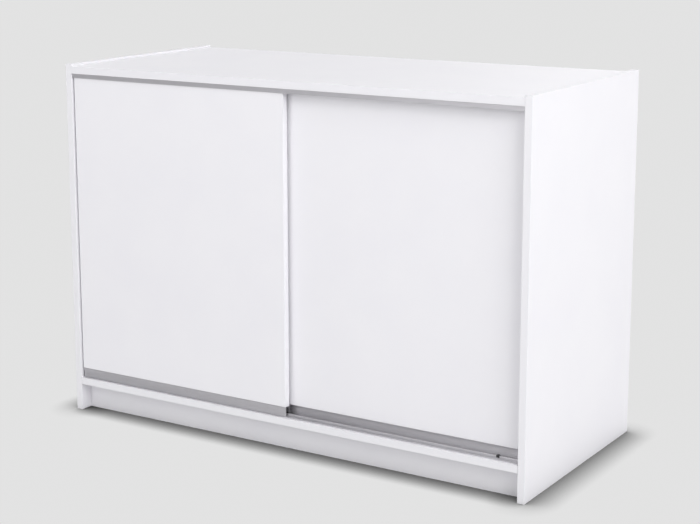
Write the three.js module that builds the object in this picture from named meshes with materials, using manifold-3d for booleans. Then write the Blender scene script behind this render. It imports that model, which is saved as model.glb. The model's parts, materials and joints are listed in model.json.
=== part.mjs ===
// Low sliding door cabinet: a white board carcass with two doors that roll past each other on
// aluminium double tracks. Millimetres, +X to the right, +Y to the back, +Z up. The origin is on
// the floor, under the middle of the cabinet.
import * as THREE from "three";
import { mergeVertices } from "three/addons/utils/BufferGeometryUtils.js";
import Module from "manifold-3d";

const wasm = await Module();
wasm.setup();

// Carcass: overall size, boards, and how they are set back from each other.
const WIDTH = 1312;
const DEPTH = 598;
const HEIGHT = 920;
const BOARD = 18;
const TOP_BOARD = 19;
const TOP_LIP = 5; // the side panels stand proud of the top panel by this much
const JOINT = 0.3; // clearance left wherever two pieces meet
const PLINTH_HEIGHT = 70;
const PLINTH_SETBACK = 36;

// Back panel, held in grooves of the boards round it.
const BACK_BOARD = 8;
const BACK_SETBACK = 12;
const GROOVE_DEPTH = 6;
const GROOVE_WIDTH = BACK_BOARD + 2 * JOINT;
const BACK_TONGUE = GROOVE_DEPTH - 0.5; // how far the back panel reaches into each groove

// Centre divider, shelves and their pins.
const DIVIDER_SETBACK = 60; // clears the tracks of both doors
const SHELF_TOP = 501;
const SHELF_SETBACK = 10; // behind the divider's front edge
const SHELF_END_GAP = 1.5;
const PIN_RADIUS = 2.5;
const PIN_HOLE_DEPTH = 8;
const PIN_COLLAR_RADIUS = 4.2;
const PIN_COLLAR_WIDTH = 0.8;
const PIN_REACH = 9; // from the board's face to the pin's tip
const PIN_INSET = 45; // from the shelf's front and back edges
const HOLE_SPACING = 32;
const HOLES_PER_ROW = 5;

// Cam fittings that pull the side panels onto the top and bottom panels.
const CAM_RADIUS = 7.5;
const CAM_HEIGHT = 12.4;
const CAM_BORE_DEPTH = 13;
const CAM_FROM_END = 34;
const CAM_FROM_EDGE = 80;
const CAM_SLOT = 1.6;

// Doors: the planes they run in, counted back from the front of the cabinet.
const FRONT_DOOR_FACE = 5;
const DOOR_PITCH = 25.8;
const DOOR_WIDTH = 643.5;
const DOOR_OVERLAP = 19.4;
const DOOR_BOTTOM = 115; // where the board sits on its aluminium profile
const DOOR_TOP = 887;
const DOOR_CENTRE_X = (DOOR_WIDTH - DOOR_OVERLAP) / 2;

// Aluminium profile under each door: a channel that hides the rollers.
const PROFILE_BOTTOM = 91.6;
const PROFILE_WEB = 1.5;
const PROFILE_BACK_WALL = [16.6, 17.8]; // behind the door's face
const PROFILE_FRONT_WALL = 3.8; // inner side of the coved front wall
const RAIL_BEHIND_FACE = (PROFILE_FRONT_WALL + PROFILE_BACK_WALL[0]) / 2;
const CHANNEL_HALF = (PROFILE_BACK_WALL[0] - PROFILE_FRONT_WALL) / 2;

// Top track: two downward channels on one web.
const TRACK_HALF_LENGTH = 637.5;
const TRACK_WALL = 1.2;
const TOP_TRACK_WEB = 1.5;
const TOP_TRACK_DROP = 11; // from the underside of the top panel to the lower edge of its walls
const TOP_CHANNEL_HALF = 10.7;

// Bottom track: a base plate with a front bead and one rounded rail for each door.
const BASE_PLATE = 1.6;
const BASE_MARGIN = 6;
const BEAD_WIDTH = 1.6;
const BEAD_HEIGHT = 1.2;
const RAIL_WIDTH = 3;
const RAIL_TOP = 98;

// Rollers, their carriers and axles, and the stops clipped on the rails.
const TREAD_RADIUS = 5.2;
const FLANGE_RADIUS = 7;
const ROLLER_INSET = 61; // from each end of the door
const HUB_RADIUS = 3.2;
const AXLE_RADIUS = 1.5;
const AXLE_CLEARANCE = 0.3;
const AXLE_Z = RAIL_TOP + JOINT + TREAD_RADIUS;
const EAR = 1.4;
const CARRIER_LENGTH = 40;
const CARRIER_FOOT = 18;
const CARRIER_PLATE = 2;
const CARRIER_BOTTOM = 98.4;
const STOP_LENGTH = 7;
const STOP_WIDTH = 7.6;
const STOP_TOP = RAIL_TOP + 1.3;
const STOP_BOTTOM = RAIL_TOP - 4.4;
const STOP_CHAMFER = 0.6;
const STOP_GAP = 0.5; // between a closed door's roller and its stop

// Black plugs in the profile's ends and nylon glides on the door's upper edge.
const PLUG_LENGTH = 8;
const PLUG_RECESS = 1;
const PLUG_ARCH_HALF = 4.6; // passes over the rail and its stops
const PLUG_ARCH_TOP = 101;
const GLIDE_LENGTH = 40;
const GLIDE_INSET = 40;
const GLIDE_LIP = 0.9; // thickness of its two lips
const GLIDE_DROP = 1.7; // how far they hang down over the door's faces
const GLIDE_PLATE = 1.9;
const GLIDE_HALF_DEPTH = TOP_CHANNEL_HALF - 0.5;

// Places worked out from the sizes above.
const FRONT_Y = -DEPTH / 2;
const BACK_Y = DEPTH / 2;
const INNER_HALF = WIDTH / 2 - BOARD;
const INSERT_HALF = INNER_HALF - JOINT; // half-length of a board between the side panels
const FLOOR_TOP = PLINTH_HEIGHT + BOARD;
const TOP_UNDERSIDE = HEIGHT - TOP_LIP - TOP_BOARD;
const GROOVE_Y = [BACK_Y - BACK_SETBACK - GROOVE_WIDTH, BACK_Y - BACK_SETBACK];
const DIVIDER_FRONT_Y = FRONT_Y + DIVIDER_SETBACK;
const INSIDE_BACK_Y = GROOVE_Y[0];
const SHELF_Y = [DIVIDER_FRONT_Y + SHELF_SETBACK, INSIDE_BACK_Y - JOINT];
const PIN_ROWS_Y = [SHELF_Y[0] + PIN_INSET, SHELF_Y[1] - PIN_INSET];
const PIN_Z = SHELF_TOP - BOARD - JOINT - PIN_RADIUS;
const CAM_X = INNER_HALF - CAM_FROM_END;
const CAM_ROWS_Y = [FRONT_Y + CAM_FROM_EDGE, BACK_Y - CAM_FROM_EDGE];
const CHANNEL_TOP = DOOR_BOTTOM - PROFILE_WEB;
const ROLLER_X = DOOR_WIDTH / 2 - ROLLER_INSET; // from the middle of the door
const FLANGE_REACH = Math.sqrt(FLANGE_RADIUS ** 2 - (AXLE_Z - STOP_TOP) ** 2); // at a stop's top
const STOP_X = DOOR_CENTRE_X + ROLLER_X + FLANGE_REACH + STOP_GAP + STOP_LENGTH / 2;

const ALONG_X = new THREE.Matrix4().makeBasis(
  new THREE.Vector3(0, 1, 0),
  new THREE.Vector3(0, 0, 1),
  new THREE.Vector3(1, 0, 0),
);

const melamine = new THREE.MeshStandardMaterial({ color: 0xf0eff4, roughness: 0.45, metalness: 0 });
const aluminium = new THREE.MeshStandardMaterial({ color: 0xb9babd, roughness: 0.35, metalness: 0.9 });
const steel = new THREE.MeshStandardMaterial({ color: 0xa3a5a8, roughness: 0.3, metalness: 1 });
const zinc = new THREE.MeshStandardMaterial({ color: 0xb4b2ac, roughness: 0.5, metalness: 0.8 });
const blackPlastic = new THREE.MeshStandardMaterial({ color: 0x1d1d1f, roughness: 0.55, metalness: 0 });
const nylon = new THREE.MeshStandardMaterial({ color: 0xdcdbd3, roughness: 0.5, metalness: 0 });

const cabinet = new THREE.Group();

function addMesh(parent, name, geometry, material) {
  const mesh = new THREE.Mesh(geometry, material);
  mesh.name = name;
  parent.add(mesh);
  return mesh;
}

// A box between the given limits on each axis.
function block([x0, x1], [y0, y1], [z0, z1]) {
  const geometry = new THREE.BoxGeometry(x1 - x0, y1 - y0, z1 - z0);
  return geometry.translate((x0 + x1) / 2, (y0 + y1) / 2, (z0 + z1) / 2);
}

// A (Y, Z) outline drawn out along X, centred on X = 0.
function barAlongX(shape, length, curveSegments = 8) {
  const options = { depth: length, bevelEnabled: false, curveSegments };
  return new THREE.ExtrudeGeometry(shape, options).translate(0, 0, -length / 2).applyMatrix4(ALONG_X);
}

function outline(points) {
  return new THREE.Shape(points.map(([y, z]) => new THREE.Vector2(y, z)));
}

// A cylinder along X or Y, centred on the given point.
function rod(axis, radius, length, [x, y, z], segments) {
  const geometry = new THREE.CylinderGeometry(radius, radius, length, segments);
  if (axis === "x") geometry.rotateZ(Math.PI / 2);
  return geometry.translate(x, y, z);
}

function toSolid(geometry) {
  const bare = geometry.clone();
  bare.deleteAttribute("normal");
  bare.deleteAttribute("uv");
  const merged = mergeVertices(bare, 1e-4);
  return new wasm.Manifold(
    new wasm.Mesh({
      numProp: 3,
      vertProperties: merged.attributes.position.array,
      triVerts: new Uint32Array(merged.index.array),
    }),
  );
}

function toGeometry(solid) {
  const mesh = solid.getMesh();
  const geometry = new THREE.BufferGeometry();
  geometry.setAttribute("position", new THREE.BufferAttribute(mesh.vertProperties, 3));
  geometry.setIndex(new THREE.BufferAttribute(mesh.triVerts, 1));
  const faceted = geometry.toNonIndexed();
  faceted.computeVertexNormals();
  return faceted;
}

function cutAway(geometry, tools) {
  return toGeometry(tools.reduce((solid, tool) => solid.subtract(toSolid(tool)), toSolid(geometry)));
}

// Blind holes for shelf pins, in two rows, on a face that looks along X: outward is +1 or -1.
function shelfPinHoles(faceX, outward) {
  const x = faceX + outward * (JOINT - PIN_HOLE_DEPTH / 2);
  const holes = [];
  for (const y of PIN_ROWS_Y) {
    for (let i = 0; i < HOLES_PER_ROW; i++) {
      const z = PIN_Z + (i - (HOLES_PER_ROW - 1) / 2) * HOLE_SPACING;
      holes.push(rod("x", PIN_RADIUS + JOINT, PIN_HOLE_DEPTH + 2 * JOINT, [x, y, z], 12));
    }
  }
  return holes;
}

function addSidePanel(name, side) {
  const innerX = side * INNER_HALF;
  const xs = [innerX, (side * WIDTH) / 2].sort((a, b) => a - b);
  const grooveXs = [innerX - side, innerX + side * GROOVE_DEPTH].sort((a, b) => a - b);
  const groove = block(grooveXs, GROOVE_Y, [FLOOR_TOP - GROOVE_DEPTH, TOP_UNDERSIDE + GROOVE_DEPTH]);
  const panel = block(xs, [FRONT_Y, BACK_Y], [0, HEIGHT]);
  addMesh(cabinet, name, cutAway(panel, [groove, ...shelfPinHoles(innerX, -side)]), melamine);
}

// The top and bottom panels: a groove for the back panel on the inner face, cam bores on the lower.
function addCrossPanel(name, [z0, z1], grooveZ) {
  const panel = block([-INSERT_HALF, INSERT_HALF], [FRONT_Y, BACK_Y], [z0, z1]);
  const groove = block([-WIDTH / 2, WIDTH / 2], GROOVE_Y, grooveZ);
  const bores = camPlaces().map(({ x, y }) => {
    const bore = new THREE.CylinderGeometry(CAM_RADIUS + JOINT, CAM_RADIUS + JOINT, CAM_BORE_DEPTH + 1, 20);
    return bore.rotateX(Math.PI / 2).translate(x, y, z0 + (CAM_BORE_DEPTH - 1) / 2);
  });
  addMesh(cabinet, name, cutAway(panel, [groove, ...bores]), melamine);
}

function camPlaces() {
  return [
    { corner: "front_left", x: -CAM_X, y: CAM_ROWS_Y[0] },
    { corner: "front_right", x: CAM_X, y: CAM_ROWS_Y[0] },
    { corner: "back_left", x: -CAM_X, y: CAM_ROWS_Y[1] },
    { corner: "back_right", x: CAM_X, y: CAM_ROWS_Y[1] },
  ];
}

// One cam disc with its cross slot, turned from the underside of a board.
function camGeometry() {
  const disc = new THREE.CylinderGeometry(CAM_RADIUS, CAM_RADIUS, CAM_HEIGHT, 20).rotateX(Math.PI / 2);
  const slotZ = [-CAM_HEIGHT / 2 - 1, -CAM_HEIGHT / 2 + 2.5];
  const longHalf = CAM_RADIUS * 0.65;
  const shortHalf = CAM_SLOT / 2;
  return cutAway(disc, [
    block([-longHalf, longHalf], [-shortHalf, shortHalf], slotZ),
    block([-shortHalf, shortHalf], [-longHalf, longHalf], slotZ),
  ]);
}

function addCams(boardName, undersideZ) {
  for (const { corner, x, y } of camPlaces()) {
    const cam = addMesh(cabinet, `${boardName}_cam_${corner}`, camGeometry(), zinc);
    cam.position.set(x, y, undersideZ + JOINT + CAM_HEIGHT / 2);
  }
}

function addCarcass() {
  addSidePanel("side_panel_left", -1);
  addSidePanel("side_panel_right", 1);
  addCrossPanel("bottom_panel", [PLINTH_HEIGHT, FLOOR_TOP], [FLOOR_TOP - GROOVE_DEPTH, FLOOR_TOP + 1]);
  const topZ = [TOP_UNDERSIDE, TOP_UNDERSIDE + TOP_BOARD];
  addCrossPanel("top_panel", topZ, [TOP_UNDERSIDE - 1, TOP_UNDERSIDE + GROOVE_DEPTH]);
  addCams("bottom_panel", PLINTH_HEIGHT);
  addCams("top_panel", TOP_UNDERSIDE);

  const backX = INNER_HALF + BACK_TONGUE;
  const backZ = [FLOOR_TOP - BACK_TONGUE, TOP_UNDERSIDE + BACK_TONGUE];
  const backY = [GROOVE_Y[0] + JOINT, GROOVE_Y[1] - JOINT];
  addMesh(cabinet, "back_panel", block([-backX, backX], backY, backZ), melamine);
}

function addPlinth() {
  const xs = [-INSERT_HALF, INSERT_HALF];
  const zs = [0, PLINTH_HEIGHT - JOINT];
  const frontY = [FRONT_Y + PLINTH_SETBACK, FRONT_Y + PLINTH_SETBACK + BOARD];
  const backY = [BACK_Y - PLINTH_SETBACK - BOARD, BACK_Y - PLINTH_SETBACK];
  const supportY = [frontY[1] + JOINT, backY[0] - JOINT];
  addMesh(cabinet, "plinth_front", block(xs, frontY, zs), melamine);
  addMesh(cabinet, "plinth_back", block(xs, backY, zs), melamine);
  addMesh(cabinet, "plinth_support", block([-BOARD / 2, BOARD / 2], supportY, zs), melamine);
}

function addDivider() {
  const half = BOARD / 2;
  const ys = [DIVIDER_FRONT_Y, INSIDE_BACK_Y];
  const board = block([-half, half], ys, [FLOOR_TOP + JOINT, TOP_UNDERSIDE - JOINT]);
  const holes = [...shelfPinHoles(-half, -1), ...shelfPinHoles(half, 1)];
  addMesh(cabinet, "center_divider", cutAway(board, holes), melamine);
}

// A pin turned about its own axis: a peg for the hole, a collar against the board, and a support.
function pinGeometry() {
  const bottom = 0.4 - PIN_HOLE_DEPTH;
  const profile = [
    [0, bottom],
    [PIN_RADIUS - 0.4, bottom],
    [PIN_RADIUS, bottom + 0.6],
    [PIN_RADIUS, JOINT],
    [PIN_COLLAR_RADIUS, JOINT],
    [PIN_COLLAR_RADIUS, JOINT + PIN_COLLAR_WIDTH],
    [PIN_RADIUS, JOINT + PIN_COLLAR_WIDTH],
    [PIN_RADIUS, PIN_REACH - 0.6],
    [PIN_RADIUS - 0.6, PIN_REACH],
    [0, PIN_REACH],
  ];
  return new THREE.LatheGeometry(profile.map(([r, y]) => new THREE.Vector2(r, y)), 12);
}

// A shelf in one bay, and the four pins it lies on. Side is -1 for the left bay and +1 for the right.
function addShelf(bay, side) {
  const xs = [side * (BOARD / 2 + SHELF_END_GAP), side * (INNER_HALF - SHELF_END_GAP)];
  xs.sort((a, b) => a - b);
  addMesh(cabinet, `shelf_${bay}`, block(xs, SHELF_Y, [SHELF_TOP - BOARD, SHELF_TOP]), melamine);
  const ends = [
    { end: "outer", x: side * INNER_HALF, pointing: -side },
    { end: "inner", x: (side * BOARD) / 2, pointing: side },
  ];
  for (const { end, x, pointing } of ends) {
    for (const [row, y] of [["front", PIN_ROWS_Y[0]], ["back", PIN_ROWS_Y[1]]]) {
      const pin = addMesh(cabinet, `shelf_pin_${bay}_${end}_${row}`, pinGeometry(), steel);
      pin.rotation.z = (-pointing * Math.PI) / 2;
      pin.position.set(x, y, PIN_Z);
    }
  }
}

// The middle planes of the two doors, and of the two rails under them.
function doorPlanes() {
  return [0, 1].map((i) => FRONT_Y + FRONT_DOOR_FACE + i * DOOR_PITCH + BOARD / 2);
}

function railPlanes() {
  return [0, 1].map((i) => FRONT_Y + FRONT_DOOR_FACE + i * DOOR_PITCH + RAIL_BEHIND_FACE);
}

function addTopTrack() {
  const top = TOP_UNDERSIDE - JOINT;
  const webUnderside = top - TOP_TRACK_WEB;
  const low = TOP_UNDERSIDE - TOP_TRACK_DROP;
  const outer = TOP_CHANNEL_HALF + TRACK_WALL;
  const channel = (y) => [
    [y - outer, low],
    [y - TOP_CHANNEL_HALF, low],
    [y - TOP_CHANNEL_HALF, webUnderside],
    [y + TOP_CHANNEL_HALF, webUnderside],
    [y + TOP_CHANNEL_HALF, low],
    [y + outer, low],
  ];
  const [frontPlane, rearPlane] = doorPlanes();
  const section = outline([
    [frontPlane - outer, top],
    ...channel(frontPlane),
    [frontPlane + outer, webUnderside],
    [rearPlane - outer, webUnderside],
    ...channel(rearPlane),
    [rearPlane + outer, top],
  ]);
  addMesh(cabinet, "top_track", barAlongX(section, 2 * TRACK_HALF_LENGTH), aluminium);
}

function addBottomTrack() {
  const low = FLOOR_TOP + JOINT;
  const plateTop = low + BASE_PLATE;
  const rails = railPlanes();
  const front = rails[0] - BASE_MARGIN;
  const back = rails[1] + BASE_MARGIN;
  const beadRound = BEAD_WIDTH / 2;
  const beadCentreZ = plateTop + BEAD_HEIGHT - beadRound;
  const shape = new THREE.Shape();
  shape.moveTo(front, low);
  shape.lineTo(front, beadCentreZ);
  shape.absarc(front + beadRound, beadCentreZ, beadRound, Math.PI, 0, true);
  shape.lineTo(front + BEAD_WIDTH, plateTop);
  for (const y of rails) {
    shape.lineTo(y - RAIL_WIDTH / 2, plateTop);
    shape.absarc(y, RAIL_TOP - RAIL_WIDTH / 2, RAIL_WIDTH / 2, Math.PI, 0, true);
    shape.lineTo(y + RAIL_WIDTH / 2, plateTop);
  }
  shape.lineTo(back, plateTop);
  shape.lineTo(back, low);
  shape.closePath();
  addMesh(cabinet, "bottom_track", barAlongX(shape, 2 * TRACK_HALF_LENGTH), aluminium);
}

// A stop saddles its rail's head, so its outline is an upside-down U.
function addTrackStops() {
  const half = STOP_WIDTH / 2;
  const slot = RAIL_WIDTH / 2 + JOINT;
  const slotTop = RAIL_TOP + JOINT;
  const saddle = outline([
    [-half, STOP_BOTTOM],
    [-slot, STOP_BOTTOM],
    [-slot, slotTop],
    [slot, slotTop],
    [slot, STOP_BOTTOM],
    [half, STOP_BOTTOM],
    [half, STOP_TOP - STOP_CHAMFER],
    [half - STOP_CHAMFER, STOP_TOP],
    [STOP_CHAMFER - half, STOP_TOP],
    [-half, STOP_TOP - STOP_CHAMFER],
  ]);
  railPlanes().forEach((y, i) => {
    for (const [end, side] of [["left", -1], ["right", 1]]) {
      const name = `track_stop_${i === 0 ? "front" : "back"}_${end}`;
      const stop = addMesh(cabinet, name, barAlongX(saddle, STOP_LENGTH), blackPlastic);
      stop.position.set(side * STOP_X, y, 0);
    }
  });
}

// The channel under a door, in (behind the face, height): its front wall is hollowed by a cove.
function profileShape() {
  const [backIn, backOut] = PROFILE_BACK_WALL;
  const shape = new THREE.Shape();
  const top = DOOR_BOTTOM;
  shape.moveTo(0.6, top);
  shape.lineTo(0.6, top - 0.8);
  shape.quadraticCurveTo(3.2, (top + PROFILE_BOTTOM) / 2, 1.4, PROFILE_BOTTOM);
  shape.lineTo(PROFILE_FRONT_WALL, PROFILE_BOTTOM);
  shape.lineTo(PROFILE_FRONT_WALL, CHANNEL_TOP);
  shape.lineTo(backIn, CHANNEL_TOP);
  shape.lineTo(backIn, PROFILE_BOTTOM);
  shape.lineTo(backOut, PROFILE_BOTTOM);
  shape.lineTo(backOut, top);
  shape.closePath();
  return shape;
}

// A plug for one end of the channel, arched over the rail.
function plugGeometry() {
  const half = CHANNEL_HALF - JOINT;
  const low = PROFILE_BOTTOM + JOINT;
  const arch = outline([
    [-half, low],
    [-PLUG_ARCH_HALF, low],
    [-PLUG_ARCH_HALF, PLUG_ARCH_TOP - 2],
    [2 - PLUG_ARCH_HALF, PLUG_ARCH_TOP],
    [PLUG_ARCH_HALF - 2, PLUG_ARCH_TOP],
    [PLUG_ARCH_HALF, PLUG_ARCH_TOP - 2],
    [PLUG_ARCH_HALF, low],
    [half, low],
    [half, CHANNEL_TOP - JOINT],
    [-half, CHANNEL_TOP - JOINT],
  ]);
  return barAlongX(arch, PLUG_LENGTH);
}

// A glide caps the door's upper edge, between the walls of the top track.
function glideGeometry() {
  const inner = GLIDE_HALF_DEPTH - GLIDE_LIP;
  const under = DOOR_TOP + JOINT;
  const lip = under - GLIDE_DROP;
  const cap = outline([
    [-GLIDE_HALF_DEPTH, lip],
    [-inner, lip],
    [-inner, under],
    [inner, under],
    [inner, lip],
    [GLIDE_HALF_DEPTH, lip],
    [GLIDE_HALF_DEPTH, under + GLIDE_PLATE],
    [-GLIDE_HALF_DEPTH, under + GLIDE_PLATE],
  ]);
  return barAlongX(cap, GLIDE_LENGTH);
}

// A carrier: a plate under the channel's web, with two ears that hold the axle.
function carrierGeometry() {
  const top = CHANNEL_TOP - JOINT;
  const half = CHANNEL_HALF - JOINT;
  const side = new THREE.Shape();
  side.moveTo(-CARRIER_LENGTH / 2, top);
  side.lineTo(-CARRIER_LENGTH / 2, top - CARRIER_PLATE);
  side.lineTo(-CARRIER_FOOT / 2, CARRIER_BOTTOM);
  side.lineTo(CARRIER_FOOT / 2, CARRIER_BOTTOM);
  side.lineTo(CARRIER_LENGTH / 2, top - CARRIER_PLATE);
  side.lineTo(CARRIER_LENGTH / 2, top);
  side.closePath();
  const body = new THREE.ExtrudeGeometry(side, { depth: 2 * half, bevelEnabled: false });
  body.rotateX(Math.PI / 2).translate(0, half, 0);
  const betweenEars = [EAR - half, half - EAR];
  const length = [-CARRIER_LENGTH, CARRIER_LENGTH];
  return cutAway(body, [
    block(length, betweenEars, [CARRIER_BOTTOM - 1, top - CARRIER_PLATE]),
    rod("y", AXLE_RADIUS + AXLE_CLEARANCE, 3 * half, [0, 0, AXLE_Z], 20),
  ]);
}

function axleGeometry() {
  const half = CHANNEL_HALF - 2 * JOINT;
  const profile = [
    [0, -half],
    [AXLE_RADIUS - 0.3, -half],
    [AXLE_RADIUS, 0.3 - half],
    [AXLE_RADIUS, half - 0.3],
    [AXLE_RADIUS - 0.3, half],
    [0, half],
  ];
  return new THREE.LatheGeometry(profile.map(([r, y]) => new THREE.Vector2(r, y)), 16);
}

// A grooved roller turned about Y: hub, recessed web, flanges, and a tread that rides the rail.
function rollerGeometry() {
  const upperHalf = [
    [TREAD_RADIUS, RAIL_WIDTH / 2 + 0.4],
    [FLANGE_RADIUS, 2.8],
    [FLANGE_RADIUS, 3.7],
    [FLANGE_RADIUS - 0.3, 4],
    [FLANGE_RADIUS - 1.2, 4],
    [FLANGE_RADIUS - 1.7, 3.3],
    [HUB_RADIUS, 3.3],
    [HUB_RADIUS, 4.2],
    [AXLE_RADIUS + AXLE_CLEARANCE, 4.2],
  ];
  const lowerHalf = upperHalf.map(([r, y]) => [r, -y]).reverse();
  const profile = [...lowerHalf, ...upperHalf, lowerHalf[0]];
  return new THREE.LatheGeometry(profile.map(([r, y]) => new THREE.Vector2(r, y)), 20);
}

// A door in its own frame: X from its middle, Y from its face, Z from the floor.
function addDoor(name, centreX, faceY) {
  const door = new THREE.Group();
  door.position.set(centreX, faceY, 0);
  cabinet.add(door);
  const half = DOOR_WIDTH / 2;
  addMesh(door, `${name}_panel`, block([-half, half], [0, BOARD], [DOOR_BOTTOM + JOINT, DOOR_TOP]), melamine);
  addMesh(door, `${name}_profile`, barAlongX(profileShape(), DOOR_WIDTH), aluminium);
  for (const [end, side] of [["left", -1], ["right", 1]]) {
    const plug = addMesh(door, `${name}_plug_${end}`, plugGeometry(), blackPlastic);
    plug.position.set(side * (half - PLUG_RECESS - PLUG_LENGTH / 2), RAIL_BEHIND_FACE, 0);
    const glide = addMesh(door, `${name}_glide_${end}`, glideGeometry(), nylon);
    glide.position.set(side * (half - GLIDE_INSET - GLIDE_LENGTH / 2), BOARD / 2, 0);
    addRoller(door, `${name}_${end}`, side * ROLLER_X);
  }
}

function addRoller(door, name, x) {
  const station = new THREE.Group();
  station.position.set(x, RAIL_BEHIND_FACE, 0);
  door.add(station);
  addMesh(station, `${name}_carrier`, carrierGeometry(), blackPlastic);
  const axle = addMesh(station, `${name}_axle`, axleGeometry(), steel);
  const roller = addMesh(station, `${name}_roller`, rollerGeometry(), nylon);
  axle.position.z = AXLE_Z;
  roller.position.z = AXLE_Z;
}

addCarcass();
addPlinth();
addDivider();
addShelf("left", -1);
addShelf("right", 1);
addTopTrack();
addBottomTrack();
addTrackStops();
addDoor("front_door", -DOOR_CENTRE_X, FRONT_Y + FRONT_DOOR_FACE);
addDoor("rear_door", DOOR_CENTRE_X, FRONT_Y + FRONT_DOOR_FACE + DOOR_PITCH);

export default cabinet;
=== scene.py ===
"""Looks of a low sliding door cabinet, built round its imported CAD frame: edge-banded melamine boards,
anodised aluminium tracks and door profiles, plastic rollers, glides, plugs and stops, steel and zinc
fittings, a pale floor and soft studio light."""
import json
import math

import bmesh
import bpy
from mathutils import Matrix, Vector


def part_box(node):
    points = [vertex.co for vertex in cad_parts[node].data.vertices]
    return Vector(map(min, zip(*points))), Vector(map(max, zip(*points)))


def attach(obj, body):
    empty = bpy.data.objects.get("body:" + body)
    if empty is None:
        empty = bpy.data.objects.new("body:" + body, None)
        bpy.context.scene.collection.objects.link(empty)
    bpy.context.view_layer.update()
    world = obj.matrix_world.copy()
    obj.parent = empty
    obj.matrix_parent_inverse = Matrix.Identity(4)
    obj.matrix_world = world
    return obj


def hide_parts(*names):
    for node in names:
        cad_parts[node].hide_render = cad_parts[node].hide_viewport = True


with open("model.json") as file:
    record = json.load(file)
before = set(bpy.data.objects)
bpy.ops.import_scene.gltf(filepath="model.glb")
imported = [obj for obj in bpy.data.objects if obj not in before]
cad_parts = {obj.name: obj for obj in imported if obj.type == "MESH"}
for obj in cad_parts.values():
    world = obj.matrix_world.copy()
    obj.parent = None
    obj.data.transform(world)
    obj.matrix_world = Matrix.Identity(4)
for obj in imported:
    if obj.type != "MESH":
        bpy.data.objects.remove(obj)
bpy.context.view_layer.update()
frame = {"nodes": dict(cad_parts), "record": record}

MM = 0.001
RECORD = frame["record"]
BODY_OF = {node: body for body, nodes in RECORD["behaviour"]["bodies"].items() for node in nodes}

# Boards
BAND = 0.8 * MM  # thickness of the edge banding
BAND_ROUND = 0.7 * MM  # radius of its outer arrises
SEAM = 0.12 * MM  # micro bevel that draws the joint between face and banding
BOARD_ROUND = 0.25 * MM

# Holes that the fittings sit in
PIN_HOLE_RADIUS = 2.7 * MM
PIN_HOLE_DEPTH = 8.3 * MM
HOLE_SPACING = 32 * MM
HOLES_PER_ROW = 5
CAM_BORE_RADIUS = 7.75 * MM
CAM_BORE_DEPTH = 12.9 * MM
GROOVE_CLEARANCE = Vector((0.5, 0.3, 0.5)) * MM

# Turned fittings
ROUND_STEPS = 64
SMALL_ROUND_STEPS = 40
PEG_RADIUS = 2.5 * MM
PEG_SOCKET = 7.6 * MM  # length of a shelf pin inside its hole
COLLAR_WIDTH = 1.1 * MM
ROLLER_BORE = 1.75 * MM
ROLLER_HUB = 3.2 * MM
TREAD_HALF = 1.9 * MM  # half the width of a roller's groove
FLANGE_HALF = 4.0 * MM
WEB_HALF = 3.25 * MM  # half the thickness of the web between hub and rim
TREAD_DEPTH = 1.8 * MM
CAM_RIM = 0.8 * MM
CAM_CROSS_REACH = 0.62  # share of the cam's radius
CAM_CROSS_WIDTH = 1.6 * MM
CAM_CROSS_DEPTH = 3 * MM
SCREW_HEAD_RADIUS = 2.9 * MM
SCREW_HEAD_DEPTH = 0.5 * MM
SCREW_CROSS_REACH = 1.5 * MM
SCREW_CROSS_HALF = 0.35 * MM
SCREW_CROSS_DEPTH = 0.32 * MM
SCREW_PLACES = (0.04, 0.27, 0.5, 0.73, 0.96)  # shares of the bottom track's length

# Aluminium sections
METAL_ROUND = 0.3 * MM
CORNER_ROUND = 0.2 * MM  # outer corners
TRACK_WALL = 1.2 * MM
TRACK_TIP_ROUND = TRACK_WALL * 0.45  # the nearly half round lower edges of the top track's walls
TOP_TRACK_WEB = 1.5 * MM
TOP_CHANNEL_HALF = 10.7 * MM
BASE_PLATE = 1.6 * MM
RAIL_WIDTH = 3 * MM
RAIL_FOOT_ROUND = 0.5 * MM
PROFILE_WEB = 1.5 * MM
PROFILE_WALLS = (3.8 * MM, 16.6 * MM)  # inner sides of both walls, behind the door's face
PROFILE_TOP_ROUND = 0.15 * MM
COVE_TOP = Vector((0.3, -0.5)) * MM  # (behind the door's face, above the profile's top)
COVE_PULL = Vector((5.2, -5)) * MM  # the point that pulls the cove's curve inwards, measured alike
COVE_FOOT = Vector((1.8, 0.5)) * MM  # (behind the door's face, above the profile's foot)
COVE_STEPS = 12
BEAD_WIDTH = 1.6 * MM
BEAD_HEIGHT = 1.2 * MM
BEAD_ROUND = 0.5 * MM
LINE_HALF_WIDTH = 0.5 * MM  # of the shallow V lines in the tracks
WALL_LINE_DEPTH = 0.08 * MM
PLATE_LINE_DEPTH = 0.35 * MM
PLATE_LINES = (0.3, 0.5, 0.7)  # shares of the way from rail to rail


# ---------------------------------------------------------------- camera, light and floor

# The camera of the view that the cabinet is made to be seen from.
CAMERA_PLACE = Vector((2.1372, -3.4413, 1.3469))
CAMERA_YAW = math.radians(33.0)
CAMERA_PITCH = math.radians(-11.17)
CAMERA_ROLL = math.radians(-0.3)
CAMERA_LENS = 83.6
CAMERA_SHIFT = (0.0529, -0.0693)

FLOOR_SIZE = 60.0
FLOOR_GLOW = 0.765  # the glowing floor's brightness, away from the painted shadow round the cabinet
PAINTED_SHADOW_REACH = 0.082  # how far the painted shadow round the base spreads
# power that deepens the painted shadow round the base
PAINTED_SHADOW_DEPTH = 1.85

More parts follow.
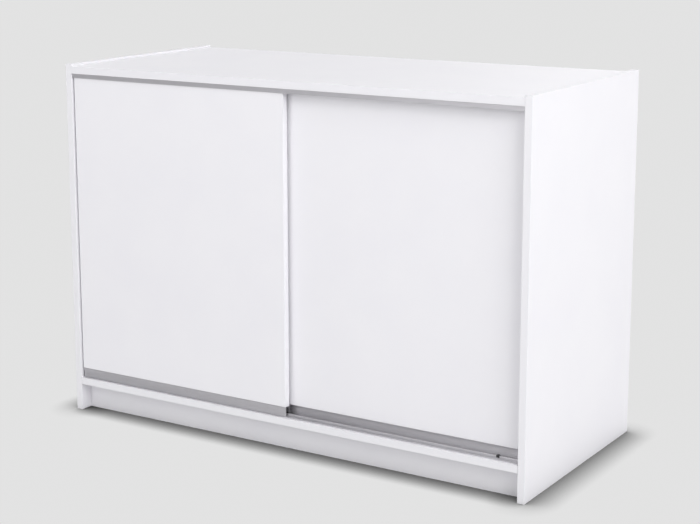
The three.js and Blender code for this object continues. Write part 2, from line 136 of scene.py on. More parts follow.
# Softboxes: direction seen from the cabinet (degrees from the front towards the right, degrees above
# the floor) and power in watts.
SOFTBOXES = {
    "softbox_front_left": (-12, 32, 92),
    "softbox_front_low": (-8, 12, 42),
    "softbox_right": (60, 35, 238),
    "softbox_right_low": (66, 12, 62),
    "softbox_side": (98, 32, 62),
    "softbox_left": (-95, 38, 200),
    "softbox_back": (180, 42, 205),
}
SOFTBOX_DISTANCE = 7.0
SOFTBOX_SIZE = (4.0, 3.4)
SOFTBOX_AIM = Vector((0, 0, 0.45))
SKY_GLOW = 0.13
HORIZON_TOP = math.sin(math.radians(24))  # height at which the pale horizon has faded to the sky


def add_camera():
    data = bpy.data.cameras.new("camera")
    data.sensor_width = 36
    data.lens = CAMERA_LENS
    data.shift_x, data.shift_y = CAMERA_SHIFT
    data.clip_end = 200
    camera = bpy.data.objects.new("camera", data)
    bpy.context.scene.collection.objects.link(camera)
    tilt = Matrix.Rotation(math.pi / 2 + CAMERA_PITCH, 4, "X")
    turn = Matrix.Rotation(CAMERA_YAW, 4, "Z")
    roll = Matrix.Rotation(CAMERA_ROLL, 4, "Z")
    camera.matrix_world = Matrix.Translation(CAMERA_PLACE) @ turn @ tilt @ roll
    bpy.context.scene.camera = camera


def add_softbox(name, turn, height, power):
    """A large area light that faces the cabinet from the given direction."""
    data = bpy.data.lights.new(name, "AREA")
    data.shape = "RECTANGLE"
    data.size, data.size_y = SOFTBOX_SIZE
    data.energy = power
    lamp = bpy.data.objects.new(name, data)
    bpy.context.scene.collection.objects.link(lamp)
    turn, height = math.radians(turn), math.radians(height)
    level = math.cos(height)
    direction = Vector((math.sin(turn) * level, -math.cos(turn) * level, math.sin(height)))
    lamp.location = SOFTBOX_AIM + SOFTBOX_DISTANCE * direction
    lamp.rotation_euler = direction.to_track_quat("Z", "Y").to_euler()


def add_world():
    """Pale surroundings: as bright as the floor at the horizon, and fading upwards to a dim sky."""
    world = bpy.data.worlds.new("studio")
    world.use_nodes = True
    tree = world.node_tree
    direction = tree.nodes.new("ShaderNodeTexCoord")
    split = tree.nodes.new("ShaderNodeSeparateXYZ")
    fade = tree.nodes.new("ShaderNodeMapRange")
    fade.interpolation_type = "SMOOTHSTEP"
    fade.inputs["From Min"].default_value = 0.0
    fade.inputs["From Max"].default_value = HORIZON_TOP
    fade.inputs["To Min"].default_value = FLOOR_GLOW
    fade.inputs["To Max"].default_value = SKY_GLOW
    background = tree.nodes["Background"]
    background.inputs["Color"].default_value = (1.0, 1.0, 1.0, 1.0)
    tree.links.new(direction.outputs["Generated"], split.inputs["Vector"])
    tree.links.new(split.outputs["Z"], fade.inputs["Value"])
    tree.links.new(fade.outputs["Result"], background.inputs["Strength"])
    bpy.context.scene.world = world


def add_studio():
    add_world()
    for name, (turn, height, power) in SOFTBOXES.items():
        add_softbox(name, turn, height, power)


def add_floor():
    bm = bmesh.new()
    bmesh.ops.create_grid(bm, x_segments=1, y_segments=1, size=FLOOR_SIZE / 2)
    mesh = bpy.data.meshes.new("floor")
    bm.to_mesh(mesh)
    bm.free()
    floor = bpy.data.objects.new("floor", mesh)
    bpy.context.scene.collection.objects.link(floor)
    mesh.materials.append(floor_material())


# ---------------------------------------------------------------- materials


def new_material(name, color, roughness, metallic=0.0, ior=1.5):
    """A material with its uniform values on the shader's own sockets. Returns it with its node tools."""
    material = bpy.data.materials.new(name)
    material.use_nodes = True
    tree = material.node_tree
    shader = tree.nodes["Principled BSDF"]
    shader.inputs["Base Color"].default_value = (*color, 1.0)
    shader.inputs["Roughness"].default_value = roughness
    shader.inputs["Metallic"].default_value = metallic
    shader.inputs["IOR"].default_value = ior
    return material, tree, shader


def object_coordinates(tree, scale=(1.0, 1.0, 1.0)):
    coordinates = tree.nodes.new("ShaderNodeTexCoord")
    mapping = tree.nodes.new("ShaderNodeMapping")
    mapping.inputs["Scale"].default_value = scale
    tree.links.new(coordinates.outputs["Object"], mapping.inputs["Vector"])
    return mapping.outputs["Vector"]


def noise(tree, vector, scale, detail=2.0, roughness=0.5):
    node = tree.nodes.new("ShaderNodeTexNoise")
    node.inputs["Scale"].default_value = scale
    node.inputs["Detail"].default_value = detail
    node.inputs["Roughness"].default_value = roughness
    tree.links.new(vector, node.inputs["Vector"])
    return node.outputs["Fac"]


def spread(tree, value, low, high):
    """Maps a noise value, which lies about 0.5, to the range from low to high."""
    node = tree.nodes.new("ShaderNodeMapRange")
    node.inputs["From Min"].default_value = 0.3
    node.inputs["From Max"].default_value = 0.7
    node.inputs["To Min"].default_value = low
    node.inputs["To Max"].default_value = high
    tree.links.new(value, node.inputs["Value"])
    return node.outputs["Result"]


def two_tone(tree, factor, first, second):
    node = tree.nodes.new("ShaderNodeMix")
    node.data_type = "RGBA"
    node.inputs["A"].default_value = (*first, 1.0)
    node.inputs["B"].default_value = (*second, 1.0)
    tree.links.new(factor, node.inputs["Factor"])
    return node.outputs["Result"]


def bump(tree, shader, height, distance, strength):
    node = tree.nodes.new("ShaderNodeBump")
    node.inputs["Distance"].default_value = distance
    node.inputs["Strength"].default_value = strength
    tree.links.new(height, node.inputs["Height"])
    tree.links.new(node.outputs["Normal"], shader.inputs["Normal"])


def melamine_material():
    """White melamine: a fine pearl texture, and a very faint cloudiness over a hand's width."""
    material, tree, shader = new_material("white_melamine", (0.84, 0.832, 0.868), 0.42)
    vector = object_coordinates(tree)
    cloud = noise(tree, vector, 7.0, 3.0)
    tint = two_tone(tree, spread(tree, cloud, 0.0, 1.0), (0.832, 0.824, 0.862), (0.848, 0.84, 0.872))
    tree.links.new(tint, shader.inputs["Base Color"])
    pearl = noise(tree, vector, 900.0, 3.0, 0.6)
    tree.links.new(spread(tree, pearl, 0.38, 0.47), shader.inputs["Roughness"])
    bump(tree, shader, pearl, 0.00004, 0.35)
    return material


def band_material():
    """ABS edge banding: smoother than the faces, with the faint lengthwise marks of the scraper."""
    material, tree, shader = new_material("edge_banding", (0.815, 0.809, 0.843), 0.38)
    vector = object_coordinates(tree)
    grain = noise(tree, vector, 500.0, 2.0)
    tree.links.new(spread(tree, grain, 0.34, 0.43), shader.inputs["Roughness"])
    bump(tree, shader, grain, 0.00003, 0.3)
    return material


def chipboard_material():
    """Raw chipboard, seen only inside drilled holes and grooves."""
    material, tree, shader = new_material("raw_chipboard", (0.5, 0.37, 0.24), 0.9)
    vector = object_coordinates(tree)
    chips = noise(tree, vector, 650.0, 4.0, 0.7)
    tone = two_tone(tree, spread(tree, chips, 0.0, 1.0), (0.34, 0.23, 0.13), (0.62, 0.49, 0.33))
    tree.links.new(tone, shader.inputs["Base Color"])
    bump(tree, shader, chips, 0.0004, 0.8)
    return material


def back_board_material():
    """The thin back panel: the same white, a shade greyer and more matt."""
    material, tree, shader = new_material("white_back_board", (0.8, 0.797, 0.82), 0.55)
    vector = object_coordinates(tree)
    cloud = noise(tree, vector, 5.0, 3.0)
    tone = two_tone(tree, spread(tree, cloud, 0.0, 1.0), (0.788, 0.785, 0.808), (0.81, 0.806, 0.83))
    tree.links.new(tone, shader.inputs["Base Color"])
    fibre = noise(tree, object_coordinates(tree, (1.0, 1.0, 0.35)), 700.0, 3.0, 0.6)
    tree.links.new(spread(tree, fibre, 0.5, 0.6), shader.inputs["Roughness"])
    bump(tree, shader, fibre, 0.00006, 0.4)
    return material


def aluminium_material():
    """Satin anodised extrusion. Its draw lines run the length of the section, along X, so they
    stretch its highlights round the section."""
    material, tree, shader = new_material("anodised_aluminium", (0.59, 0.579, 0.61), 0.5, 0.85)
    shader.inputs["Anisotropic"].default_value = 0.85
    round_section = tree.nodes.new("ShaderNodeTangent")
    round_section.direction_type = "RADIAL"
    round_section.axis = "X"
    tree.links.new(round_section.outputs["Tangent"], shader.inputs["Tangent"])
    lines = noise(tree, object_coordinates(tree, (0.012, 1.0, 1.0)), 2600.0, 3.0, 0.65)
    satin = noise(tree, object_coordinates(tree, (0.3, 1.0, 1.0)), 160.0, 2.0)
    tone = two_tone(tree, spread(tree, lines, 0.0, 1.0), (0.56, 0.549, 0.58), (0.62, 0.609, 0.64))
    tree.links.new(tone, shader.inputs["Base Color"])
    tree.links.new(spread(tree, satin, 0.46, 0.54), shader.inputs["Roughness"])
    bump(tree, shader, lines, 0.00003, 0.35)
    return material


def steel_material():
    """Zinc plated steel with a fine, soft grain."""
    material, tree, shader = new_material("plated_steel", (0.62, 0.62, 0.63), 0.3, 1.0)
    grain = noise(tree, object_coordinates(tree), 1800.0, 3.0)
    tree.links.new(spread(tree, grain, 0.22, 0.38), shader.inputs["Roughness"])
    bump(tree, shader, grain, 0.00002, 0.4)
    return material


def zinc_material():
    """Plain die-cast zinc: dull, with the slight pitting of the casting."""
    material, tree, shader = new_material("cast_zinc", (0.56, 0.55, 0.53), 0.48, 1.0)
    vector = object_coordinates(tree)
    pits = noise(tree, vector, 1100.0, 4.0, 0.7)
    tone = two_tone(tree, spread(tree, pits, 0.0, 1.0), (0.48, 0.47, 0.45), (0.62, 0.61, 0.59))
    tree.links.new(tone, shader.inputs["Base Color"])
    tree.links.new(spread(tree, pits, 0.4, 0.58), shader.inputs["Roughness"])
    bump(tree, shader, pits, 0.00006, 0.5)
    return material


def black_plastic_material():
    """Black moulded plastic with a fine spark-eroded grain."""
    material, tree, shader = new_material("black_plastic", (0.018, 0.018, 0.02), 0.5)
    grain = noise(tree, object_coordinates(tree), 2400.0, 3.0, 0.6)
    tree.links.new(spread(tree, grain, 0.42, 0.6), shader.inputs["Roughness"])
    bump(tree, shader, grain, 0.00004, 0.5)
    return material


def nylon_material():
    """Natural nylon: off-white and slightly waxy, with a little depth."""
    material, tree, shader = new_material("nylon", (0.74, 0.73, 0.67), 0.4)
    shader.inputs["Subsurface Weight"].default_value = 0.15
    shader.inputs["Subsurface Radius"].default_value = (0.001, 0.0009, 0.0007)
    grain = noise(tree, object_coordinates(tree), 900.0, 2.0)
    tree.links.new(spread(tree, grain, 0.35, 0.48), shader.inputs["Roughness"])
    bump(tree, shader, grain, 0.00003, 0.3)
    return material


def floor_material():
    """A pale floor that glows evenly and darkens softly where the cabinet stands on it: a painted
    contact shadow, its glow darkened by ambient occlusion.
    """
    material = bpy.data.materials.new("floor")
    material.use_nodes = True
    tree = material.node_tree
    tree.nodes.remove(tree.nodes["Principled BSDF"])
    # Painted shadow: ambient occlusion, raised to a power, darkens the floor's glow round the cabinet's
    # base.
    painted_shadow_ao = tree.nodes.new("ShaderNodeAmbientOcclusion")
    painted_shadow_ao.samples = 16
    painted_shadow_ao.inputs["Distance"].default_value = PAINTED_SHADOW_REACH
    deepen_painted_shadow = tree.nodes.new("ShaderNodeMath")
    deepen_painted_shadow.operation = "POWER"
    deepen_painted_shadow.inputs[1].default_value = PAINTED_SHADOW_DEPTH
    brightness = tree.nodes.new("ShaderNodeMath")
    brightness.operation = "MULTIPLY"
    brightness.inputs[1].default_value = FLOOR_GLOW
    glow = tree.nodes.new("ShaderNodeEmission")
    tree.links.new(painted_shadow_ao.outputs["AO"], deepen_painted_shadow.inputs[0])
    tree.links.new(deepen_painted_shadow.outputs["Value"], brightness.inputs[0])
    tree.links.new(brightness.outputs["Value"], glow.inputs["Strength"])
    tree.links.new(glow.outputs["Emission"], tree.nodes["Material Output"].inputs["Surface"])
    return material


MELAMINE = melamine_material()
BANDING = band_material()
CHIPBOARD = chipboard_material()
BACK_BOARD = back_board_material()
ALUMINIUM = aluminium_material()
STEEL = steel_material()
ZINC = zinc_material()
BLACK_PLASTIC = black_plastic_material()
NYLON = nylon_material()


# ---------------------------------------------------------------- mesh tools


def new_object(name, bm, materials):
    bmesh.ops.recalc_face_normals(bm, faces=bm.faces)
    mesh = bpy.data.meshes.new(name)
    bm.to_mesh(mesh)
    bm.free()
    for material in materials:
        mesh.materials.append(material)
    piece = bpy.data.objects.new(name, mesh)
    bpy.context.scene.collection.objects.link(piece)
    return piece


def shade(piece, angle=40):
    """Smooth shading across small angles, with flat faces kept flat beside their bevels."""
    mesh = piece.data
    mesh.polygons.foreach_set("use_smooth", [True] * len(mesh.polygons))
    mesh.set_sharp_from_angle(angle=math.radians(angle))
    weighted = piece.modifiers.new("flat_faces", "WEIGHTED_NORMAL")
    weighted.keep_sharp = True


def settle(piece, node, stands_for=True):
    """The piece rides on its CAD node's body, and may stand for it."""
    shade(piece)
    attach(piece, BODY_OF[node])
    if stands_for:
        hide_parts(node)
    return piece


def box_mesh(low, high):
    bm = bmesh.new()
    bmesh.ops.create_cube(bm, size=1)
    size = Vector(high) - Vector(low)
    middle = (Vector(high) + Vector(low)) / 2
    bmesh.ops.scale(bm, vec=size, verts=bm.verts)
    bmesh.ops.translate(bm, vec=middle, verts=bm.verts)
    return bm


def bevel(bm, edges, radius, segments):
    bmesh.ops.bevel(bm, geom=edges, offset=radius, segments=segments, profile=0.5, affect="EDGES")


def rounded_outline(corners, steps=4):
    """An outline from (y, z, radius) corners, each with its arc."""
    points = []
    count = len(corners)
    for i, (y, z, radius) in enumerate(corners):
        here = Vector((y, z))
        before = (Vector(corners[i - 1][:2]) - here).normalized()
        after = (Vector(corners[(i + 1) % count][:2]) - here).normalized()
        if radius == 0:
            points.append(here)
            continue
        half_angle = before.angle(after) / 2
        reach = radius / math.tan(half_angle)
        centre = here + (before + after).normalized() * (radius / math.sin(half_angle))
        start = here + before * reach - centre
        sweep = math.pi - 2 * half_angle
        turn = 1 if before.cross(after) < 0 else -1
        for step in range(steps + 1):
            angle = turn * sweep * step / steps
            cos, sin = math.cos(angle), math.sin(angle)
            spoke = Vector((start.x * cos - start.y * sin, start.x * sin + start.y * cos))
            points.append(centre + spoke)
    return points


def bar_along_x(points, x_low, x_high):
    """A closed (y, z) outline drawn out along X."""
    bm = bmesh.new()
    first = [bm.verts.new((x_low, y, z)) for y, z in points]
    last = [bm.verts.new((x_high, y, z)) for y, z in points]
    bm.faces.new(first)
    bm.faces.new(list(reversed(last)))
    for i in range(len(points)):
        j = (i + 1) % len(points)
        bm.faces.new((first[i], last[i], last[j], first[j]))
    return bm


def turned(profile, steps=ROUND_STEPS):
    """A closed solid turned about Z from (radius, z) points. A profile that starts and ends on the
    axis gets poles there, and any other closes on itself."""
    bm = bmesh.new()
    on_axis = profile[0][0] == 0
    rings = []
    for radius, z in profile:
        if radius == 0:
            rings.append([bm.verts.new((0, 0, z))])
            continue
        angles = [2 * math.pi * step / steps for step in range(steps)]
        rings.append([bm.verts.new((radius * math.cos(a), radius * math.sin(a), z)) for a in angles])
    pairs = list(zip(rings, rings[1:]))
    if not on_axis:
        pairs.append((rings[-1], rings[0]))
    for lower, upper in pairs:
        for step in range(steps):
            after = (step + 1) % steps
            if len(lower) == 1:
                bm.faces.new((lower[0], upper[after], upper[step]))
            elif len(upper) == 1:
                bm.faces.new((lower[step], lower[after], upper[0]))
            else:
                bm.faces.new((lower[step], lower[after], upper[after], upper[step]))
    return bm


def point_along(bm, direction, place):
    """Turns a mesh made about Z so that its +Z points along direction, and moves it to place."""
    turn = Vector(direction).to_track_quat("Z", "Y").to_matrix().to_4x4()
    bm.transform(Matrix.Translation(Vector(place)) @ turn)
    return bm


def joined(meshes):
    whole = bmesh.new()
    for bm in meshes:
        mesh = bpy.data.meshes.new("part")
        bm.to_mesh(mesh)
        bm.free()
        whole.from_mesh(mesh)
        bpy.data.meshes.remove(mesh)
    return whole


def cut(piece, tools):
    """Cuts the tool meshes out of the piece. The cut faces take the piece's second material."""
    bm = joined(tools)
    for face in bm.faces:
        face.material_index = 1
    cutter = new_object("cutter", bm, piece.data.materials)
    difference = piece.modifiers.new("cut", "BOOLEAN")
    difference.operation = "DIFFERENCE"
    difference.solver = "EXACT"
    difference.object = cutter
    depsgraph = bpy.context.evaluated_depsgraph_get()
    result = bpy.data.meshes.new_from_object(piece.evaluated_get(depsgraph))
    piece.modifiers.clear()
    piece.data = result
    bpy.data.objects.remove(cutter)
    return piece


# ---------------------------------------------------------------- boards

AXES = {"x": 0, "y": 1, "z": 2}
SIDE_WORDS = {"-x": "left", "+x": "right", "-y": "front", "+y": "back", "-z": "bottom", "+z": "top"}


def thin_axis(low, high):
    size = high - low
    return min(range(3), key=lambda axis: size[axis])


def add_board(node, banded, cutters=(), core_material=MELAMINE):
    """A board with a core, and a strip of banding on each edge in banded, such as ("-y", "+y"). Strips
    across the first axis named run the full length of their edge, and the others stop between them."""
    low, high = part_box(node)
    core_low, core_high = low.copy(), high.copy()
    for side in banded:
        axis = AXES[side[1]]
        if side[0] == "-":
            core_low[axis] += BAND
        else:
            core_high[axis] -= BAND
    core = new_object(node + "_board", box_mesh(core_low, core_high), (core_material, CHIPBOARD))
    if cutters:
        cut(core, cutters)
    chamfer = core.modifiers.new("arris", "BEVEL")
    chamfer.width = SEAM if banded else BOARD_ROUND
    chamfer.segments = 2
    chamfer.limit_method = "ANGLE"
    settle(core, node)
    for side in banded:
        strip_low, strip_high = low.copy(), high.copy()
        first_axis = AXES[banded[0][1]]
        if AXES[side[1]] != first_axis:
            strip_low[first_axis], strip_high[first_axis] = core_low[first_axis], core_high[first_axis]
        add_band(node, side, strip_low, strip_high)


def add_band(node, side, low, high):
    """One strip of banding on one edge of the box from low to high, with its outer arrises rounded."""
    axis = AXES[side[1]]
    low, high = low.copy(), high.copy()
    if side[0] == "-":
        high[axis] = low[axis] + BAND
        outer = low[axis]
    else:
        low[axis] = high[axis] - BAND
        outer = high[axis]
    bm = box_mesh(low, high)
    across = thin_axis(*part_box(node))
    length_axis = 3 - axis - across

    def is_outer(edge):
        a, b = (v.co for v in edge.verts)
        along = abs(a[length_axis] - b[length_axis]) > 1e-6
        return along and abs(a[axis] - outer) < 1e-6

    bevel(bm, [edge for edge in bm.edges if is_outer(edge)], BAND_ROUND, 4)
    sharp = [edge for edge in bm.edges if len(edge.link_faces) == 2 and edge.calc_face_angle() > 1.0]
    bevel(bm, sharp, SEAM / 2, 1)
    strip = new_object(f"{node}_band_{SIDE_WORDS[side]}", bm, (BANDING,))
    settle(strip, node, stands_for=False)


def pin_hole(x, y, z, inward):
    """A drilled hole that goes from a face at x, away from inward along X."""
    profile = [(0, -PIN_HOLE_DEPTH), (PIN_HOLE_RADIUS, -PIN_HOLE_DEPTH), (PIN_HOLE_RADIUS, MM), (0, MM)]
    return point_along(turned(profile, SMALL_ROUND_STEPS), (inward, 0, 0), (x, y, z))


def pin_holes(face_x, inward, pins):
    """Two rows of pin holes on a board's face, centred on the pins named."""
    holes = []
    for pin in pins:
        low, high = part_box(pin)
        _, y, z = (low + high) / 2
        for i in range(HOLES_PER_ROW):
            offset = (i - (HOLES_PER_ROW - 1) / 2) * HOLE_SPACING
            holes.append(pin_hole(face_x, y, z + offset, inward))
    return holes


def back_groove():
    """A box a little larger than the back panel, which cuts the groove that the panel stands in."""
    low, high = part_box("back_panel")
    return box_mesh(low - GROOVE_CLEARANCE, high + GROOVE_CLEARANCE)


def cam_bores(board):
    """The blind bores in a board's underside, one round each of its cam fittings."""
    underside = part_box(board)[0].z
    radius, depth = CAM_BORE_RADIUS, CAM_BORE_DEPTH
    bores = []
    for node in frame["nodes"]:
        if node.startswith(board + "_cam_"):
            low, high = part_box(node)
            middle = (low + high) / 2
            bore = turned([(0, -MM), (radius, -MM), (radius, depth), (0, depth)], SMALL_ROUND_STEPS)
            bores.append(point_along(bore, (0, 0, 1), (middle.x, middle.y, underside)))
    return bores


def pins_of(bay, end):
    return [f"shelf_pin_{bay}_{end}_{row}" for row in ("front", "back")]


def add_carcass():
    left_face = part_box("side_panel_left")[1].x
    right_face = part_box("side_panel_right")[0].x
    divider_low, divider_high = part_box("center_divider")
    all_round = ("-y", "+y", "-z", "+z")
    left_holes = pin_holes(left_face, 1, pins_of("left", "outer"))
    right_holes = pin_holes(right_face, -1, pins_of("right", "outer"))
    add_board("side_panel_left", all_round, [*left_holes, back_groove()])
    add_board("side_panel_right", all_round, [*right_holes, back_groove()])
    for board in ("top_panel", "bottom_panel"):
        add_board(board, ("-y", "+y"), [*cam_bores(board), back_groove()])
    divider_holes = pin_holes(divider_low.x, -1, pins_of("left", "inner"))
    divider_holes += pin_holes(divider_high.x, 1, pins_of("right", "inner"))
    add_board("center_divider", ("-y",), divider_holes)
    for shelf in ("shelf_left", "shelf_right"):
        add_board(shelf, ("-y",))
    for plinth in ("plinth_front", "plinth_back", "plinth_support"):
        add_board(plinth, ())
    add_board("back_panel", (), core_material=BACK_BOARD)


# ---------------------------------------------------------------- aluminium


def add_top_track():
    """Two downward channels on one web. A shallow line runs along the middle of each outer wall."""
    low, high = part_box("top_track")
    web = high.z - TOP_TRACK_WEB
    outer = TOP_CHANNEL_HALF + TRACK_WALL
    r = METAL_ROUND
    tip = TRACK_TIP_ROUND
    planes = []
    for door in ("front_door_panel", "rear_door_panel"):
        door_low, door_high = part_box(door)
        planes.append((door_low.y + door_high.y) / 2)
    front, rear = planes

    def channel(y):
        return [
            (y - outer, low.z, tip),
            (y - TOP_CHANNEL_HALF, low.z, tip),
            (y - TOP_CHANNEL_HALF, web, r),
            (y + TOP_CHANNEL_HALF, web, r),
            (y + TOP_CHANNEL_HALF, low.z, tip),
            (y + outer, low.z, tip),
        ]

    corners = [
        (front - outer, high.z, r),
        *wall_line(front - outer, 1, (low.z + high.z) / 2, -1),
        *channel(front),
        (front + outer, web, r),
        (rear - outer, web, r),
        *channel(rear),
        *wall_line(rear + outer, -1, (low.z + high.z) / 2, 1),
        (rear + outer, high.z, r),
    ]
    bar = bar_along_x(rounded_outline(corners), low.x, high.x)
    settle(new_object("top_track_extrusion", bar, (ALUMINIUM,)), "top_track")


def wall_line(y, inward, z, going):
    """A shallow V line across a wall's outer face at height z; going is +1 up or -1 down the outline."""
    half = LINE_HALF_WIDTH
    return [(y, z - going * half, 0), (y + inward * WALL_LINE_DEPTH, z, 0), (y, z + going * half, 0)]


def add_bottom_track():
    """A base plate with a front bead, a rounded rail for each door, and fine grooves between them."""
    low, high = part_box("bottom_track")
    plate = low.z + BASE_PLATE
    bead_top, bead_back = plate + BEAD_HEIGHT, low.y + BEAD_WIDTH
    front, rear = rail_plane("front_door"), rail_plane("rear_door")
    corners = [
        (low.y, low.z, CORNER_ROUND),
        (low.y, bead_top, BEAD_ROUND),
        (bead_back, bead_top, BEAD_ROUND),
        (bead_back, plate, METAL_ROUND),
        *rail_corners(front, plate, high.z),
        *plate_lines(front, rear, plate),
        *rail_corners(rear, plate, high.z),
        (high.y, plate, METAL_ROUND),
        (high.y, low.z, CORNER_ROUND),
    ]
    bar = bar_along_x(rounded_outline(corners), low.x, high.x)
    settle(new_object("bottom_track_extrusion", bar, (ALUMINIUM,)), "bottom_track")


def rail_corners(y, plate, top):
    """The corners of an upright rail with a round top."""
    half = RAIL_WIDTH / 2
    top_round = half * 0.98  # a little under a half circle, so that no edge has zero length
    return [
        (y - half, plate, RAIL_FOOT_ROUND),
        (y - half, top, top_round),
        (y + half, top, top_round),
        (y + half, plate, RAIL_FOOT_ROUND),
    ]


def plate_lines(y_from, y_to, plate):
    """Shallow V lines in the plate between the rails."""
    half = LINE_HALF_WIDTH
    corners = []
    for share in PLATE_LINES:
        y = y_from + (y_to - y_from) * share
        corners += [(y - half, plate, 0), (y, plate - PLATE_LINE_DEPTH, 0), (y + half, plate, 0)]
    return corners


def rail_plane(door):
    low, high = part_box(f"{door}_left_roller")
    return (low.y + high.y) / 2


def add_profile(door):
    """The channel under a door. Its front wall is hollowed by a cove and ends in a small lip."""
    low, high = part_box(f"{door}_profile")
    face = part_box(f"{door}_panel")[0].y
    front_in, back_in = (face + wall for wall in PROFILE_WALLS)
    web = high.z - PROFILE_WEB
    start = Vector((face, high.z)) + COVE_TOP
    pull = Vector((face, high.z)) + COVE_PULL
    end = Vector((face, low.z)) + COVE_FOOT
    corners = [(start.x, high.z, PROFILE_TOP_ROUND)]
    for step in range(COVE_STEPS + 1):
        t = step / COVE_STEPS
        point = start * (1 - t) ** 2 + pull * (2 * t * (1 - t)) + end * t**2
        corners.append((point.x, point.y, 0))
    corners += [
        (end.x, low.z, CORNER_ROUND),
        (front_in, low.z, CORNER_ROUND),
        (front_in, web, METAL_ROUND),
        (back_in, web, METAL_ROUND),
        (back_in, low.z, CORNER_ROUND),
        (high.y, low.z, CORNER_ROUND),
        (high.y, high.z, METAL_ROUND),
    ]
    outline = rounded_outline(corners, 3)
    bar = bar_along_x(outline, low.x, high.x)
    settle(new_object(f"{door}_profile_extrusion", bar, (ALUMINIUM,)), f"{door}_profile")


# ---------------------------------------------------------------- plastic and small metal


def soften(node, width, material):
    """A CAD node whose shape is right keeps it, with softened edges and its own material."""
    piece = frame["nodes"][node]
    piece.data.materials.clear()
    piece.data.materials.append(material)
    edge = piece.modifiers.new("arris", "BEVEL")
    edge.width = width
    edge.segments = 3
    edge.limit_method = "ANGLE"
    edge.angle_limit = math.radians(25)


def mirrored(upper):
    """A turned profile that is the same on both sides of z = 0, from its upper half."""
    return [(radius, -z) for radius, z in reversed(upper)] + upper


def add_roller(door, end):
    """A grooved roller with a raised hub, recessed web and round flanges."""
    node = f"{door}_{end}_roller"
    low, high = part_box(node)
    rim = (high.z - low.z) / 2
    hub_end = (high.y - low.y) / 2
    web_edge = rim - TREAD_DEPTH
    upper = [
        (rim - TREAD_DEPTH, TREAD_HALF),
        (rim - 1.1 * MM, TREAD_HALF + 0.25 * MM),
        (rim - 0.3 * MM, TREAD_HALF + 0.7 * MM),
        (rim, TREAD_HALF + MM),
        (rim, FLANGE_HALF - 0.5 * MM),
        (rim - 0.15 * MM, FLANGE_HALF - 0.2 * MM),
        (rim - 0.4 * MM, FLANGE_HALF),
        (rim - 1.2 * MM, FLANGE_HALF),
        (rim - 1.5 * MM, FLANGE_HALF - 0.3 * MM),
        (web_edge + 0.05 * MM, WEB_HALF + 0.05 * MM),
        (ROLLER_HUB + 0.4 * MM, WEB_HALF),
        (ROLLER_HUB + 0.1 * MM, WEB_HALF + 0.2 * MM),
        (ROLLER_HUB, hub_end - 0.3 * MM),
        (ROLLER_HUB - 0.3 * MM, hub_end),
        (ROLLER_BORE + 0.3 * MM, hub_end),
        (ROLLER_BORE, hub_end - 0.3 * MM),
    ]
    bm = point_along(turned(mirrored(upper)), (0, 1, 0), (low + high) / 2)
    settle(new_object(node + "_wheel", bm, (NYLON,)), node)


def add_axle(door, end):
    """A steel axle with rounded ends."""
    node = f"{door}_{end}_axle"
    low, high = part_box(node)
    radius = (high.z - low.z) / 2
    tip = (high.y - low.y) / 2
    upper = [
        (radius, tip - 0.35 * MM),
        (radius - 0.12 * MM, tip - 0.1 * MM),
        (radius - 0.4 * MM, tip),
        (0, tip),
    ]
    bm = point_along(turned(mirrored(upper), SMALL_ROUND_STEPS), (0, 1, 0), (low + high) / 2)
    settle(new_object(node + "_pin", bm, (STEEL,)), node)


def add_shelf_pin(bay, end, row):
    """A turned pin: peg in the board, collar with a rounded rim, and the end that the shelf lies on."""
    node = f"shelf_pin_{bay}_{end}_{row}"
    low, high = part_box(node)
    outwards = -1 if bay == "left" else 1
    pointing = -outwards if end == "outer" else outwards
    length = high.x - low.x
    collar = (high.z - low.z) / 2
    collar_start, collar_end = PEG_SOCKET + 0.3 * MM, PEG_SOCKET + COLLAR_WIDTH
    profile = [
        (0, 0),
        (PEG_RADIUS - 0.5 * MM, 0),
        (PEG_RADIUS, 0.6 * MM),
        (PEG_RADIUS, collar_start),
        (collar - 0.2 * MM, collar_start),
        (collar, collar_start + 0.2 * MM),
        (collar, collar_end - 0.2 * MM),
        (collar - 0.2 * MM, collar_end),
        (PEG_RADIUS + 0.25 * MM, collar_end),
        (PEG_RADIUS, collar_end + 0.25 * MM),
        (PEG_RADIUS, length - 0.9 * MM),
        (PEG_RADIUS - 0.3 * MM, length - 0.3 * MM),
        (PEG_RADIUS - 0.9 * MM, length),
        (0, length),
    ]
    middle = (low + high) / 2
    start = Vector((low.x if pointing > 0 else high.x, middle.y, middle.z))
    bm = point_along(turned(profile, SMALL_ROUND_STEPS), (pointing, 0, 0), start)
    settle(new_object(node + "_turned", bm, (STEEL,)), node)


def add_cam(node):
    """A cam fitting seen from below: a rimmed disc with a cross recess."""
    low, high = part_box(node)
    radius = (high.x - low.x) / 2
    height = high.z - low.z
    profile = [
        (0, 0.5 * MM),
        (radius - CAM_RIM - 0.3 * MM, 0.5 * MM),
        (radius - CAM_RIM, 0.15 * MM),
        (radius - CAM_RIM + 0.2 * MM, 0),
        (radius - 0.15 * MM, 0),
        (radius, 0.2 * MM),
        (radius, height),
        (0, height),
    ]
    middle = (low + high) / 2
    place = Vector((middle.x, middle.y, low.z))
    disc = new_object(node + "_disc", point_along(turned(profile), (0, 0, 1), place), (ZINC, ZINC))
    cut_cross(disc, place, radius * CAM_CROSS_REACH, CAM_CROSS_WIDTH / 2, CAM_CROSS_DEPTH)
    settle(disc, node)


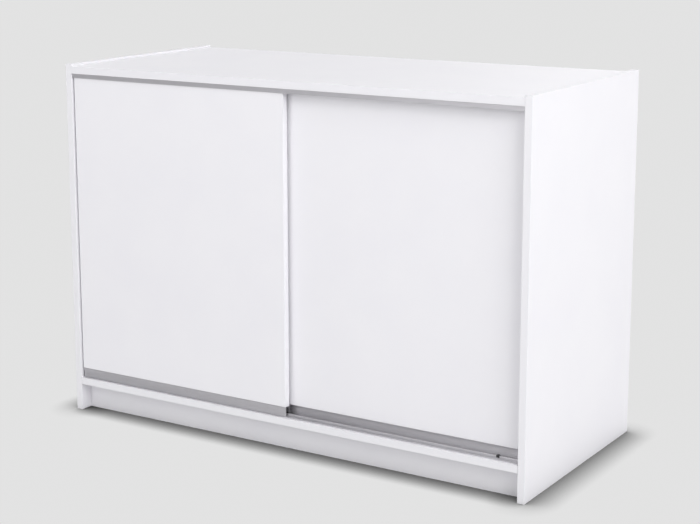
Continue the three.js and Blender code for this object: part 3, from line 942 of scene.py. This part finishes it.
def cut_cross(piece, place, reach, half, depth):
    """Cuts a cross recess through the face at place, one arm after the other."""
    for x, y in ((reach, half), (half, reach)):
        arm = Vector((x, y, depth))
        cut(piece, [box_mesh(place - arm, place + arm)])


def add_track_screws():
    """Countersunk cross-head screws along the middle of the bottom track, between its rails."""
    low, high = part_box("bottom_track")
    y = (rail_plane("front_door") + rail_plane("rear_door")) / 2
    z = low.z + BASE_PLATE + PLATE_LINE_DEPTH
    head = SCREW_HEAD_RADIUS
    profile = [
        (0, -SCREW_HEAD_DEPTH),
        (head - 0.5 * MM, -SCREW_HEAD_DEPTH),
        (head, -0.12 * MM),
        (head - 0.1 * MM, 0),
        (0, 0),
    ]
    for i, share in enumerate(SCREW_PLACES):
        place = Vector((low.x + (high.x - low.x) * share, y, z))
        bm = point_along(turned(profile, SMALL_ROUND_STEPS), (0, 0, 1), place)
        # The cross recess cut into each steel head takes the black plastic: painted shade in the recess.
        screw = new_object(f"bottom_track_screw_{i + 1}", bm, (STEEL, BLACK_PLASTIC))
        cut_cross(screw, place, SCREW_CROSS_REACH, SCREW_CROSS_HALF, SCREW_CROSS_DEPTH)
        settle(screw, "bottom_track", stands_for=False)


def add_hardware():
    for door in ("front_door", "rear_door"):
        for end in ("left", "right"):
            add_roller(door, end)
            add_axle(door, end)
            soften(f"{door}_{end}_carrier", 0.3 * MM, BLACK_PLASTIC)
            soften(f"{door}_plug_{end}", 0.3 * MM, BLACK_PLASTIC)
            soften(f"{door}_glide_{end}", 0.25 * MM, NYLON)
    for row in ("front", "back"):
        for end in ("left", "right"):
            soften(f"track_stop_{row}_{end}", 0.35 * MM, BLACK_PLASTIC)
    for bay in ("left", "right"):
        for end in ("outer", "inner"):
            for row in ("front", "back"):
                add_shelf_pin(bay, end, row)
    for node in [n for n in frame["nodes"] if "_cam_" in n]:
        add_cam(node)
    add_track_screws()


def add_doors():
    for door in ("front_door", "rear_door"):
        add_board(f"{door}_panel", ("-x", "+x", "-z", "+z"))
        add_profile(door)


add_camera()
add_studio()
add_floor()
add_carcass()
add_top_track()
add_bottom_track()
add_doors()
add_hardware()

bpy.context.scene.view_settings.view_transform = "Standard"
